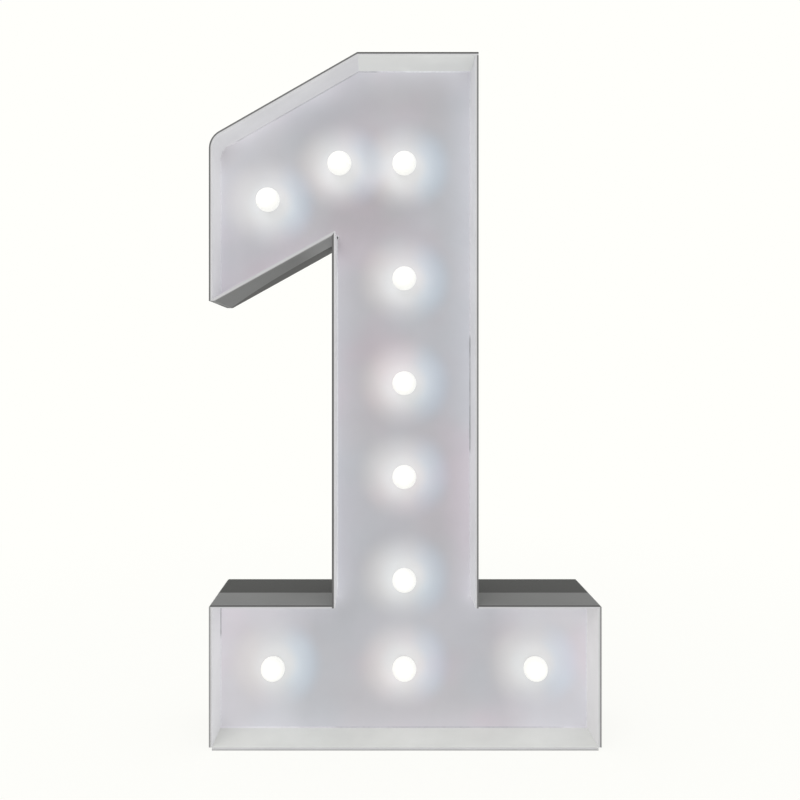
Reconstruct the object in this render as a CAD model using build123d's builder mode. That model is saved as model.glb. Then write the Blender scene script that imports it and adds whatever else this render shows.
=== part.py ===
from build123d import *
import os
from math import atan, cos, radians, sin, sqrt, tan

os.makedirs("parts", exist_ok=True)

# A light-up marquee number, the numeral one, about three feet tall. All lengths are millimetres.
# It stands on Z = 0 with its foot centred on X = 0 and its depth centred on Y = 0.
# The lit side faces -Y, and X runs to the right as it is read.

# Outline of the numeral
number_height = 914.0
foot_width = 514.0
foot_height = 190.0
stem_width = 192.0
top_length = 159.0  # flat top, from the fold to the right side
shoulder_height = 803.0  # where the slope and the hook's left side would meet
hook_tip_height = 584.0  # before the cut across the tip
hook_root_height = 673.5  # where the hook's underside meets the stem
shoulder_radius = 26.0
corner_bevel = 2.2  # outer corners at the foot's two top ends
tip_flat = 8.0  # width of the level cut across the hook's tip

# Boards
case_depth = 120.0
board = 4.0
panel_recess = 54.0  # from the front rim to the face panel
back_recess = 8.0  # from the rear rim to the back panel
relief_radius = 2.6  # corner relief of the face panel, where hook and stem meet

# Bulbs, each a cast frosted globe that twists onto a holder standing through the face panel
globe_radius = 16.0
globe_stand = 20.0  # from the face panel to the globe's centre
nose_radius = 6.5
nose_height = 6.5
running_gap = 0.05
neck_wall = 3.0
hole_gap = 0.1
flange_width = 26.0
flange = 2.0
housing_width = 18.0
housing_length = 18.0  # behind the flange
lug_height = 1.2  # how far each lug stands out of the nose
lug_thickness = 1.8
lug_foot = 2.4  # from the panel to the lug
lug_angle = 30.0
lug_gap = 0.25
lug_gap_angle = 2.0
twist_angle = 60.0
led_board_width = 8.4
led_board = 1.2
led_width = 5.0
led_height = 1.6
led_headroom = 0.6  # above the chip, inside the globe

# Where the bulbs stand, in shares of the outline round them
foot_row_height_share = 0.4895
foot_row_reach_share = 0.6926
stem_row_shares = (0.233, 0.3862, 0.5252, 0.6805)  # of the number's height
head_row_height_share = 0.4345  # of the way from the hook's root to the top
head_bulb_reach_share = 0.3424  # of the way from the middle to the hook's side
hook_bulb_reach_share = 0.7198
hook_bulb_height_share = 0.4745  # of the hook's height at that reach

# The flat twin lead that strings the holders together
lead_width = 3.2
lead_thickness = 1.6
lead_spacing = 3.4  # of each lead from the holder's axis
lead_bend = 7.0
lead_standoff = 11.0  # from the holders' rear ends to the runs

# Posts between the two panels, and the back panel's screws
post = 18.0
screw_radius = 1.4
screw_length = 16.0
screw_head_radius = 3.0
screw_head = 2.0
pilot_depth = 14.0
clearance_gap = 0.3

# Battery unit, let into the back panel
unit_x = 79.0
unit_z = 93.0
bay_length = 58.0
bay_height = 46.4
bay_depth = 17.2
tub_wall = 1.6
plate = 1.6  # flange of the tub
plate_reach = 41.0  # from the bay's centre to the left edge
plate_half_height = 34.0
plate_corner = 5.0
switch_reach = 43.0  # from the bay's centre to the switch
switch_margin = 9.0  # from the switch to the right edge
unit_screw_radius = 1.1
unit_screw_head_radius = 2.3
unit_screw_head = 1.4
unit_screw_length = 5.0
unit_screw_inset = 4.0

cell_radius = 7.1
cell_length = 49.2
button_radius = 2.7
button_height = 1.3
cell_pitch = 15.0
cell_gap = 0.15
contact = 0.5
contact_width = 9.0

door_lap = 4.0
door = 2.0
door_tab_width = 16.0
door_tab = 3.0
door_rib = 0.6
door_rib_length = 24.0
door_rib_pitch = 3.0
door_rib_count = 4
scoop_depth = 0.9
peg_radius = 1.2
peg_length = 1.2
peg_reach = 22.0
hinge_radius = 2.0
hinge_pin_radius = 0.8
hinge_length = 9.0  # of each fixed knuckle
hinge_gap = 0.3
hinge_drop = 2.7  # from the door's lower edge to the hinge axis

switch_width = 8.0
switch_height = 15.0
switch_depth = 7.0
slot_width = 3.2
slider_base_width = 4.8
slider_base_height = 6.0
slider_base = 2.4
slider_stem_height = 3.6
slider_knob_width = 5.0
slider_knob_height = 4.4
slider_knob = 2.2
slider_travel = 4.0
slide_gap = 0.2

overrun = 1.0  # by which a cut runs past the face that it leaves by

# Places that follow from the sizes above
front = -case_depth / 2
rear = case_depth / 2
panel_front = front + panel_recess
panel_rear = panel_front + board
back_outer = rear - back_recess
back_inner = back_outer - board
foot_side = foot_width / 2
stem_side = stem_width / 2
inner_foot = foot_side - board
inner_stem = stem_side - board
inner_foot_top = foot_height - board
inner_top = number_height - board
fold_x = stem_side - top_length
slope = atan((number_height - shoulder_height) / (foot_side + fold_x))
under = atan((hook_root_height - hook_tip_height) / (foot_side - stem_side))
inner_fold_x = fold_x + (board / cos(slope) - board) / tan(slope)
inner_shoulder = shoulder_height + board * tan(slope) - board / cos(slope)
inner_tip = hook_tip_height + board * tan(under) + board / cos(under)
inner_root = hook_root_height + board * tan(under) + board / cos(under)
tip_cut_x = tip_flat - foot_side
tip_cut_height = hook_tip_height + tip_flat * tan(under)
bend_z = shoulder_height + shoulder_radius * (tan(slope) - 1 / cos(slope))

foot_row = [
    (side * foot_row_reach_share * foot_side, foot_row_height_share * foot_height) for side in (-1, 0, 1)
]
stem_row = [(0, share * number_height) for share in stem_row_shares]
head_row_height = hook_root_height + head_row_height_share * (number_height - hook_root_height)
hook_bulb_x = -hook_bulb_reach_share * foot_side
under_height = hook_root_height + (hook_bulb_x + stem_side) * tan(under)
slope_height = shoulder_height + (hook_bulb_x + foot_side) * tan(slope)
hook_bulb_height = under_height + hook_bulb_height_share * (slope_height - under_height)
head_row = [
    (0, head_row_height),
    (-head_bulb_reach_share * foot_side, head_row_height),
    (hook_bulb_x, hook_bulb_height),
]
bulb_places = foot_row + stem_row + head_row

post_foot = inner_foot - post / 2
post_stem = inner_stem - post / 2
middle_post_z = (foot_height + hook_root_height) / 2
post_places = [
    (-post_foot, board + post / 2),
    (post_foot, board + post / 2),
    (-post_foot, inner_foot_top - post / 2),
    (post_foot, inner_foot_top - post / 2),
    (-post_stem, middle_post_z),
    (post_stem, middle_post_z),
    (post_stem, inner_top - post / 2),
    (inner_fold_x + post / 2, inner_top - post / 2),
    (-post_foot, inner_tip + post * tan(under) + post / 2),
    (-post_foot, bend_z - post / 2),
]


def facing(y):
    """A plane at this depth that is read from the front and extrudes towards it."""
    return Plane.XZ.offset(-y)


def radial_plane(place, angle=0.0):
    """A plane through a bulb's axis: x runs out from the axis, y from the face panel to the front."""
    outward = Vector(cos(radians(angle)), 0, sin(radians(angle)))
    return Plane(
        origin=(place[0], panel_front, place[1]),
        x_dir=outward,
        z_dir=outward.cross(Vector(0, -1, 0)),
    )


def bulb_axis(place):
    """A bulb's own axis, from the face panel to the front."""
    return Axis((place[0], panel_front, place[1]), (0, -1, 0))


def finish(part, name):
    """Label a finished piece and write it."""
    part.label = name
    export_step(part, f"parts/{name}.step")


# Straight wall boards, each drawn as it shows from the front
bevel_middle = corner_bevel / 2
wall_outlines = {
    "bottom_wall": [(-inner_foot, 0), (inner_foot, 0), (inner_foot, board), (-inner_foot, board)],
    "left_foot_end_wall": [
        (-foot_side, board),
        (-inner_foot, board),
        (-inner_foot, inner_foot_top),
        (bevel_middle - foot_side, foot_height - bevel_middle),
        (-foot_side, foot_height - corner_bevel),
    ],
    "right_foot_end_wall": [
        (foot_side, board),
        (inner_foot, board),
        (inner_foot, inner_foot_top),
        (foot_side - bevel_middle, foot_height - bevel_middle),
        (foot_side, foot_height - corner_bevel),
    ],
    "left_foot_top_wall": [
        (-stem_side, foot_height),
        (-stem_side, inner_foot_top),
        (-inner_foot, inner_foot_top),
        (bevel_middle - foot_side, foot_height - bevel_middle),
        (corner_bevel - foot_side, foot_height),
    ],
    "right_foot_top_wall": [
        (stem_side, foot_height),
        (stem_side, inner_foot_top),
        (inner_foot, inner_foot_top),
        (foot_side - bevel_middle, foot_height - bevel_middle),
        (foot_side - corner_bevel, foot_height),
    ],
    "stem_left_wall": [
        (-stem_side, inner_foot_top),
        (-inner_stem, inner_foot_top),
        (-inner_stem, inner_root),
        (-stem_side, hook_root_height),
    ],
    "stem_right_wall": [
        (stem_side, inner_foot_top),
        (inner_stem, inner_foot_top),
        (inner_stem, inner_top),
        (stem_side, inner_top),
    ],
    "hook_under_wall": [
        (-inner_foot, tip_cut_height),
        (tip_cut_x, tip_cut_height),
        (-stem_side, hook_root_height),
        (-inner_stem, inner_root),
        (-inner_foot, inner_tip),
    ],
    "top_wall": [
        (fold_x, number_height),
        (stem_side, number_height),
        (stem_side, inner_top),
        (inner_fold_x, inner_top),
    ],
}
for wall_name, corners in wall_outlines.items():
    with BuildPart() as wall:
        with BuildSketch(facing(rear)):
            with BuildLine():
                Polyline(*corners, close=True)
            make_face()
        extrude(amount=case_depth)
    finish(wall.part, wall_name)

# One board runs up the hook's left side, bends round the shoulder and climbs to the fold
with BuildPart() as shoulder_wall:
    with BuildSketch(facing(rear)) as profile:
        with BuildLine():
            Polyline(
                (-foot_side, tip_cut_height),
                (-foot_side, shoulder_height),
                (fold_x, number_height),
                (inner_fold_x, inner_top),
                (-inner_foot, inner_shoulder),
                (-inner_foot, tip_cut_height),
                close=True,
            )
        make_face()
        fillet(
            profile.vertices().sort_by_distance((-foot_side, shoulder_height, 0))[0],
            radius=shoulder_radius,
        )
        fillet(
            profile.vertices().sort_by_distance((-inner_foot, inner_shoulder, 0))[0],
            radius=shoulder_radius - board,
        )
    extrude(amount=case_depth)
finish(shoulder_wall.part, "shoulder_wall")

# The space inside the walls, which both panels fill
with BuildSketch() as inside:
    with BuildLine():
        Polyline(
            (-inner_foot, board),
            (inner_foot, board),
            (inner_foot, inner_foot_top),
            (inner_stem, inner_foot_top),
            (inner_stem, inner_top),
            (inner_fold_x, inner_top),
            (-inner_foot, inner_shoulder),
            (-inner_foot, inner_tip),
            (-inner_stem, inner_root),
            (-inner_stem, inner_foot_top),
            (-inner_foot, inner_foot_top),
            close=True,
        )
    make_face()
    fillet(
        inside.vertices().sort_by_distance((-inner_foot, inner_shoulder, 0))[0],
        radius=shoulder_radius - board,
    )

# The face panel has a hole for each holder and a small relief at the corner of hook and stem
with BuildPart() as face_panel:
    with BuildSketch(facing(panel_rear)):
        add(inside.sketch)
        with Locations(*bulb_places):
            Circle(nose_radius + hole_gap, mode=Mode.SUBTRACT)
        with Locations((-inner_stem, inner_root)):
            Circle(relief_radius, mode=Mode.SUBTRACT)
    extrude(amount=board)
finish(face_panel.part, "face_panel")

# Posts glued into the corners carry both panels and take the back panel's screws
with BuildPart() as panel_posts:
    with BuildSketch(facing(back_inner)):
        with Locations(*post_places):
            Rectangle(post, post)
    extrude(amount=back_inner - panel_rear)
    with BuildSketch(facing(back_inner)):
        with Locations(*post_places):
            Circle(screw_radius + running_gap)
    extrude(amount=pilot_depth, mode=Mode.SUBTRACT)
finish(panel_posts.part, "panel_posts")

# The back panel is let in behind the rear rim and is cut out for the battery unit
tub_length = bay_length + 2 * tub_wall
tub_height = bay_height + 2 * tub_wall
switch_x = unit_x + switch_reach
plate_right = switch_reach + switch_margin
unit_screw_places = [
    (unit_x + x, unit_z + side * (plate_half_height - unit_screw_inset))
    for x in (unit_screw_inset - plate_reach, plate_right - unit_screw_inset)
    for side in (-1, 1)
]
with BuildPart() as back_panel:
    with BuildSketch(facing(back_outer)):
        add(inside.sketch)
        with Locations(*post_places):
            Circle(screw_radius + clearance_gap, mode=Mode.SUBTRACT)
        with Locations((unit_x, unit_z)):
            Rectangle(tub_length + 2 * clearance_gap, tub_height + 2 * clearance_gap, mode=Mode.SUBTRACT)
        with Locations((switch_x, unit_z)):
            Rectangle(switch_width + 2 * clearance_gap, switch_height + 2 * clearance_gap, mode=Mode.SUBTRACT)
        with Locations(*unit_screw_places):
            Circle(unit_screw_radius + running_gap, mode=Mode.SUBTRACT)
    extrude(amount=board)
finish(back_panel.part, "back_panel")

with BuildPart() as back_screws:
    with BuildSketch(facing(back_outer)):
        with Locations(*post_places):
            Circle(screw_head_radius)
    extrude(amount=-screw_head)
    with BuildSketch(facing(back_outer)):
        with Locations(*post_places):
            Circle(screw_radius)
    extrude(amount=screw_length)
finish(back_screws.part, "back_screws")

# Lamp holders: a round nose with two lugs stands through the panel, its square housing lies behind
nose_end = panel_front - nose_height
flange_rear = panel_rear + flange
holder_end = flange_rear + housing_length
lug_radius = nose_radius + lug_height
lug_profile = [
    (nose_radius - lug_height, lug_foot),
    (lug_radius, lug_foot),
    (lug_radius, lug_foot + lug_thickness),
    (nose_radius - lug_height, lug_foot + lug_thickness),
]
for number, place in enumerate(bulb_places, start=1):
    with BuildPart() as lamp_holder:
        with BuildSketch(facing(panel_rear)):
            with Locations(place):
                Circle(nose_radius)
        extrude(amount=panel_rear - nose_end)
        with BuildSketch(facing(flange_rear)):
            with Locations(place):
                Rectangle(flange_width, flange_width)
        extrude(amount=flange)
        with BuildSketch(facing(holder_end)):
            with Locations(place):
                Rectangle(housing_width, housing_width)
        extrude(amount=housing_length)
        for side in (0, 180):
            with BuildSketch(radial_plane(place, side - lug_angle / 2)):
                with BuildLine():
                    Polyline(*lug_profile, close=True)
                make_face()
            revolve(axis=bulb_axis(place), revolution_arc=lug_angle)
    finish(lamp_holder.part, f"lamp_holder_{number:02d}")

# Globes: a frosted ball on a neck whose pockets lock on the holder's lugs with a twist
neck_bore = nose_radius + running_gap
neck_radius = neck_bore + neck_wall
neck_top = globe_stand - sqrt(globe_radius**2 - neck_radius**2)
bore_depth = nose_height + led_board + led_height + led_headroom
pocket_start = -twist_angle - lug_angle / 2 - lug_gap_angle
pocket_angle = twist_angle + lug_angle + 2 * lug_gap_angle
entry_angle = lug_angle + 2 * lug_gap_angle
pocket_inner = nose_radius - lug_height
pocket_outer = lug_radius + lug_gap
pocket_foot = lug_foot - lug_gap
pocket_head = lug_foot + lug_thickness + lug_gap
for number, place in enumerate(bulb_places, start=1):
    with BuildPart() as bulb_globe:
        with BuildSketch(radial_plane(place)):
            with BuildLine():
                Polyline(
                    (0, globe_stand + globe_radius),
                    (0, bore_depth),
                    (neck_bore, bore_depth),
                    (neck_bore, 0),
                    (neck_radius, 0),
                    (neck_radius, neck_top),
                )
                ThreePointArc(
                    (neck_radius, neck_top), (globe_radius, globe_stand), (0, globe_stand + globe_radius)
                )
            make_face()
        revolve(axis=bulb_axis(place))
        for side in (0, 180):
            for foot, span in ((pocket_foot, pocket_angle), (-overrun, entry_angle)):
                with BuildSketch(radial_plane(place, side + pocket_start)):
                    with BuildLine():
                        Polyline(
                            (pocket_inner, foot),
                            (pocket_outer, foot),
                            (pocket_outer, pocket_head),
                            (pocket_inner, pocket_head),
                            close=True,
                        )
                    make_face()
                revolve(axis=bulb_axis(place), revolution_arc=span, mode=Mode.SUBTRACT)
    finish(bulb_globe.part, f"bulb_globe_{number:02d}")

# Each nose carries a small board with one light-emitting chip
with BuildPart() as led_boards:
    with BuildSketch(facing(nose_end)):
        with Locations(*bulb_places):
            Rectangle(led_board_width, led_board_width)
    extrude(amount=led_board)
finish(led_boards.part, "led_boards")

with BuildPart() as led_chips:
    with BuildSketch(facing(nose_end - led_board)):
        with Locations(*bulb_places):
            Rectangle(led_width, led_width)
    extrude(amount=led_height)
finish(led_chips.part, "led_chips")

# The lead runs from holder to holder in the order of the string, and its feed comes from the switch.
# A side of +1 is the upper lead of a holder, -1 the lower one.
run_depth = holder_end + lead_standoff
string_order = [2, 1, 0, 3, 4, 5, 6, 7, 8, 9]
leave_sides = [1, -1, 1, 1, 1, 1, 1, 1, -1]
enter_sides = [1, -1, -1, -1, -1, -1, -1, 1, 1]


def lead_end(bulb, side):
    """Where a lead meets the rear end of a bulb's holder."""
    x, z = bulb_places[bulb]
    return (x, holder_end, z + side * lead_spacing)


switch_lead = (
    switch_x,
    back_outer - switch_depth,
    unit_z - switch_height / 2 + lead_width,
)
runs = [(switch_lead, lead_end(string_order[0], -1))]
for step, leave_side in enumerate(leave_sides):
    runs.append(
        (lead_end(string_order[step], leave_side), lead_end(string_order[step + 1], enter_sides[step]))
    )
with BuildPart() as lead_string:
    for (x1, y1, z1), (x2, y2, z2) in runs:
        with BuildLine():
            FilletPolyline(
                (x1, y1, z1), (x1, run_depth, z1), (x2, run_depth, z2), (x2, y2, z2), radius=lead_bend
            )
        with BuildSketch(
            Plane(origin=(x1, y1, z1), x_dir=(z1 - z2, 0, x2 - x1), z_dir=(0, run_depth - y1, 0))
        ):
            Rectangle(lead_width, lead_thickness)
        sweep()
finish(lead_string.part, "lead_string")

# Battery tub: its flange lies on the back panel, with the fixed hinge knuckles and the switch slot
plate_outer = back_outer + plate
bay_floor = plate_outer - bay_depth
door_half_length = bay_length / 2 + door_lap
door_half_height = bay_height / 2 + door_lap
hinge_z = unit_z - door_half_height - hinge_drop
hinge_y = plate_outer + hinge_gap + hinge_radius
plate_middle = (plate_right - plate_reach) / 2
knuckle_ends = [side * (door_half_length - hinge_length / 2) for side in (-1, 1)]
peg_z = unit_z + bay_height / 2 + door_lap / 2
peg_places = [(unit_x + side * peg_reach, peg_z) for side in (-1, 1)]
slot_height = slider_stem_height + slider_travel + 2 * slide_gap
with BuildPart() as battery_tub:
    with BuildSketch(facing(plate_outer)):
        with Locations((unit_x + plate_middle, unit_z)):
            RectangleRounded(plate_reach + plate_right, 2 * plate_half_height, plate_corner)
    extrude(amount=plate)
    with BuildSketch(facing(back_outer)):
        with Locations((unit_x, unit_z)):
            Rectangle(tub_length, tub_height)
    extrude(amount=back_outer - bay_floor + tub_wall)
    with BuildSketch(facing(plate_outer)):
        with Locations((unit_x, unit_z)):
            Rectangle(bay_length, bay_height)
    extrude(amount=bay_depth, mode=Mode.SUBTRACT)
    with BuildSketch(facing(plate_outer)):
        with Locations((switch_x, unit_z)):
            Rectangle(slot_width, slot_height)
        with Locations(*unit_screw_places):
            Circle(unit_screw_radius + running_gap)
    extrude(amount=plate, mode=Mode.SUBTRACT)
    with BuildSketch(facing(plate_outer)):
        with Locations(*peg_places):
            Circle(peg_radius + clearance_gap)
    extrude(amount=peg_length + clearance_gap, mode=Mode.SUBTRACT)
    with BuildSketch(facing(plate_outer)):
        with Locations((unit_x, unit_z + door_half_height + door_tab)):
            Rectangle(door_tab_width + door_tab, 2 * door_tab)
    extrude(amount=scoop_depth, mode=Mode.SUBTRACT)
    for knuckle_x in knuckle_ends:
        with BuildSketch(Plane.YZ.offset(unit_x + knuckle_x - hinge_length / 2)):
            with Locations((hinge_y, hinge_z)):
                Circle(hinge_radius)
            with Locations((hinge_y - hinge_radius / 2 - hinge_gap / 2, hinge_z)):
                Rectangle(hinge_radius + hinge_gap, 2 * hinge_radius)
            with Locations((hinge_y, hinge_z)):
                Circle(hinge_pin_radius, mode=Mode.SUBTRACT)
        extrude(amount=hinge_length)
finish(battery_tub.part, "battery_tub")

# Door: lies on the flange, turns on the pin along its lower edge and snaps shut on two pegs
door_inner = plate_outer
door_outer = plate_outer + door
door_knuckle = 2 * door_half_length - 2 * hinge_length - 2 * hinge_gap
with BuildPart() as battery_door:
    with BuildSketch(facing(door_outer)):
        with Locations((unit_x, unit_z)):
            Rectangle(2 * door_half_length, 2 * door_half_height)
        with Locations((unit_x, unit_z + door_half_height + door_tab / 2)):
            Rectangle(door_tab_width, door_tab)
        with Locations((unit_x, unit_z - door_half_height - hinge_drop / 2)):
            Rectangle(door_knuckle, hinge_drop)
    extrude(amount=door)
    with BuildSketch(Plane.YZ.offset(unit_x - door_knuckle / 2)):
        with Locations((hinge_y, hinge_z)):
            Circle(hinge_radius)
    extrude(amount=door_knuckle)
    with BuildSketch(Plane.YZ.offset(unit_x - door_knuckle / 2)):
        with Locations((hinge_y, hinge_z)):
            Circle(hinge_pin_radius + running_gap)
    extrude(amount=door_knuckle, mode=Mode.SUBTRACT)
    with BuildSketch(facing(door_inner)):
        with Locations(*peg_places):
            Circle(peg_radius)
    extrude(amount=peg_length)
    rib_middle = unit_z + door_half_height - door_rib_pitch * (door_rib_count + 1) / 2
    with BuildSketch(facing(door_outer)):
        with Locations((unit_x, rib_middle)):
            with GridLocations(0, door_rib_pitch, 1, door_rib_count):
                Rectangle(door_rib_length, door_rib_pitch / 3)
    extrude(amount=-door_rib)
finish(battery_door.part, "battery_door")

with BuildPart() as hinge_pin:
    with BuildSketch(Plane.YZ.offset(unit_x - door_half_length)):
        with Locations((hinge_y, hinge_z)):
            Circle(hinge_pin_radius)
    extrude(amount=2 * door_half_length)
finish(hinge_pin.part, "hinge_pin")

# Three cells lie across the bay, the middle one the other way round
cell_y = bay_floor + cell_radius + cell_gap
cell_rows = [(unit_z - cell_pitch, 1), (unit_z, -1), (unit_z + cell_pitch, 1)]
button_face = bay_length / 2 - contact
with BuildPart() as battery_cells:
    for cell_z, way in cell_rows:
        with BuildSketch(Plane.YZ.offset(unit_x + way * (button_face - button_height))):
            with Locations((cell_y, cell_z)):
                Circle(cell_radius)
        extrude(amount=-way * cell_length)
        with BuildSketch(Plane.YZ.offset(unit_x + way * (button_face - button_height))):
            with Locations((cell_y, cell_z)):
                Circle(button_radius)
        extrude(amount=way * button_height)
finish(battery_cells.part, "battery_cells")

# A flat plate takes each button, and a sprung leaf presses on each cell's other end
with BuildPart() as contact_plates:
    for cell_z, way in cell_rows:
        with BuildSketch(Plane.YZ.offset(unit_x + way * button_face)):
            with Locations((cell_y, cell_z)):
                Rectangle(contact_width, contact_width)
        extrude(amount=way * contact)
finish(contact_plates.part, "contact_plates")

leaf_reach = bay_length - contact - button_height - cell_length
leaf_half = contact_width / 2
with BuildPart() as contact_leaves:
    for cell_z, way in cell_rows:
        wall_x = unit_x - way * bay_length / 2
        with BuildSketch(Plane.XY.offset(cell_z - leaf_half)):
            with BuildLine():
                Polyline(
                    (wall_x, cell_y - leaf_half),
                    (wall_x, cell_y + leaf_half),
                    (wall_x + way * contact, cell_y + leaf_half),
                    (wall_x + way * leaf_reach, cell_y + contact / 2),
                    (wall_x + way * leaf_reach, cell_y - contact / 2),
                    (wall_x + way * contact, cell_y - leaf_half),
                    (wall_x + way * contact, cell_y + leaf_half - 2 * contact),
                    (wall_x + way * (leaf_reach - contact), cell_y),
                    close=True,
                )
            make_face()
        extrude(amount=contact_width)
finish(contact_leaves.part, "contact_leaves")

with BuildPart() as unit_screws:
    with BuildSketch(facing(plate_outer)):
        with Locations(*unit_screw_places):
            Circle(unit_screw_head_radius)
    extrude(amount=-unit_screw_head)
    with BuildSketch(facing(plate_outer)):
        with Locations(*unit_screw_places):
            Circle(unit_screw_radius)
    extrude(amount=unit_screw_length)
finish(unit_screws.part, "unit_screws")

# Slide switch: its body hangs under the flange and its slider stands out through the slot
pocket_depth = slider_base + slide_gap
with BuildPart() as switch_body:
    with BuildSketch(facing(back_outer)):
        with Locations((switch_x, unit_z)):
            Rectangle(switch_width, switch_height)
    extrude(amount=switch_depth)
    with BuildSketch(facing(back_outer)):
        with Locations((switch_x, unit_z)):
            Rectangle(
                slider_base_width + 2 * slide_gap, slider_base_height + slider_travel + 2 * slide_gap
            )
    extrude(amount=pocket_depth, mode=Mode.SUBTRACT)
finish(switch_body.part, "switch_body")

slider_z = unit_z + slider_travel / 2
slider_top = back_outer - slide_gap / 2
knob_foot = plate_outer + slide_gap
with BuildPart() as switch_slider:
    with BuildSketch(facing(slider_top)):
        with Locations((switch_x, slider_z)):
            Rectangle(slider_base_width, slider_base_height)
    extrude(amount=slider_base)
    with BuildSketch(facing(slider_top)):
        with Locations((switch_x, slider_z)):
            Rectangle(slot_width - 2 * slide_gap, slider_stem_height)
    extrude(amount=slider_top - knob_foot)
    with BuildSketch(facing(knob_foot)):
        with Locations((switch_x, slider_z)):
            Rectangle(slider_knob_width, slider_knob_height)
    extrude(amount=-slider_knob)
    chamfer(switch_slider.faces().sort_by(Axis.Y)[-1].edges(), length=slider_knob / 4)
finish(switch_slider.part, "switch_slider")
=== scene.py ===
from math import atan2, cos, pi, sin, tau

import bmesh
import bpy
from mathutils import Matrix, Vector


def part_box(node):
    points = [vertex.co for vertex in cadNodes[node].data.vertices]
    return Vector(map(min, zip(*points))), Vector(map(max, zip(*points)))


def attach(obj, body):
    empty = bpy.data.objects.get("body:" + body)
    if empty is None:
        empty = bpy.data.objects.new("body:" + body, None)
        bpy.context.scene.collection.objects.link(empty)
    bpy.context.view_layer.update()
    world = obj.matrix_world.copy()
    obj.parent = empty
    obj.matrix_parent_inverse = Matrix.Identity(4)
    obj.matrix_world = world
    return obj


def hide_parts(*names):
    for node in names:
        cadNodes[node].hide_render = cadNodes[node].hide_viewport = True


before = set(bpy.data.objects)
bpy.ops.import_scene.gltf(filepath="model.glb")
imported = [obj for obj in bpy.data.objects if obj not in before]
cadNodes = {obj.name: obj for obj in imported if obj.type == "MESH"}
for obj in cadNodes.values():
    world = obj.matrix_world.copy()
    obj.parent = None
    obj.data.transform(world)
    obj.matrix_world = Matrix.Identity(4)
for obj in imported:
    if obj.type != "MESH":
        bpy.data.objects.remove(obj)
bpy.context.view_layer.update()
scene = bpy.context.scene
print("frame loaded:", len(cadNodes), "nodes")


# Camera

cameraLook = {
    "place": (-0.0372, -1.030, 0.5012),  # level, looking along +Y
    "lens": 33.36,
    "sensor": 36.0,
    "shift": (0.029, -0.0406),
    "clip": (0.02, 100.0),
}


def makeCamera(look):
    data = bpy.data.cameras.new("photoCamera")
    data.lens = look["lens"]
    data.sensor_width = look["sensor"]
    data.shift_x, data.shift_y = look["shift"]
    data.clip_start, data.clip_end = look["clip"]
    camera = bpy.data.objects.new("photoCamera", data)
    camera.location = look["place"]
    camera.rotation_euler = (pi / 2, 0.0, 0.0)
    scene.collection.objects.link(camera)
    scene.camera = camera


# Small tools for node trees

def feed(tree, socket, value):
    if isinstance(value, bpy.types.NodeSocket):
        tree.links.new(value, socket)
    else:
        socket.default_value = value


def addNode(tree, kind, inputs=None, **settings):
    node = tree.nodes.new("ShaderNode" + kind)
    for name, value in settings.items():
        setattr(node, name, value)
    for name, value in (inputs or {}).items():
        feed(tree, node.inputs[name], value)
    return node


def calc(tree, operation, *values, clamp=False):
    return addNode(tree, "Math", dict(enumerate(values)), operation=operation, use_clamp=clamp).outputs[0]


def times(tree, first, *others):
    for other in others:
        first = calc(tree, "MULTIPLY", first, other)
    return first


def plus(tree, first, *others):
    for other in others:
        first = calc(tree, "ADD", first, other)
    return first


def inverse(tree, share):
    return calc(tree, "SUBTRACT", 1.0, share)


def vectorCalc(tree, operation, *values):
    node = addNode(tree, "VectorMath", dict(enumerate(values)), operation=operation)
    return node.outputs["Value" if operation in {"DOT_PRODUCT", "LENGTH", "DISTANCE"} else "Vector"]


def tinted(tree, colour, amount):
    return addNode(tree, "VectorMath", {0: colour, "Scale": amount}, operation="SCALE").outputs["Vector"]


def ramp(tree, value, start, end, low=0.0, high=1.0, smooth=True):
    curve = "SMOOTHSTEP" if smooth else "LINEAR"
    inputs = dict(enumerate((value, start, end, low, high)))
    return addNode(tree, "MapRange", inputs, interpolation_type=curve).outputs[0]


def between(tree, share, first, second):
    return ramp(tree, share, 0.0, 1.0, first, second, smooth=False)


def blendColours(tree, share, first, second):
    return addNode(tree, "Mix", {"Factor": share, 6: first, 7: second}, data_type="RGBA").outputs[2]


def noise(tree, scale, detail, rough, place):
    inputs = {"Vector": place, "Scale": scale, "Detail": detail, "Roughness": rough}
    return addNode(tree, "TexNoise", inputs).outputs[0]


def spreadNoise(tree, cloud, low, high, smooth=True):  # most of a noise lies between 0.3 and 0.7
    return ramp(tree, cloud, 0.3, 0.7, low, high, smooth)


def objectPlace(tree):
    return addNode(tree, "TexCoord").outputs["Object"]


def axes(tree, vector):
    return addNode(tree, "SeparateXYZ", {"Vector": vector}).outputs


def newGroup(name, inputs, outputs):
    tree = bpy.data.node_groups.new(name, "ShaderNodeTree")
    for socketName, kind, value in inputs:
        socket = tree.interface.new_socket(socketName, in_out="INPUT", socket_type="NodeSocket" + kind)
        socket.default_value = value
    for socketName, kind in outputs:
        tree.interface.new_socket(socketName, in_out="OUTPUT", socket_type="NodeSocket" + kind)
    ins = tree.nodes.new("NodeGroupInput")
    outs = tree.nodes.new("NodeGroupOutput")
    return tree, ins.outputs, outs.inputs


def useGroup(tree, group, inputs=None):
    node = tree.nodes.new("ShaderNodeGroup")
    node.node_tree = group
    for name, value in (inputs or {}).items():
        feed(tree, node.inputs[name], value)
    return node.outputs


def rgba(colour):
    return (*colour, 1.0)


def grey(level):
    return (level, level, level, 1.0)


def looped(items):  # each item with the next one, and the last with the first
    return list(zip(items, items[1:] + items[:1]))


# Effects that are shared, or have a group of their own because they are long

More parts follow.
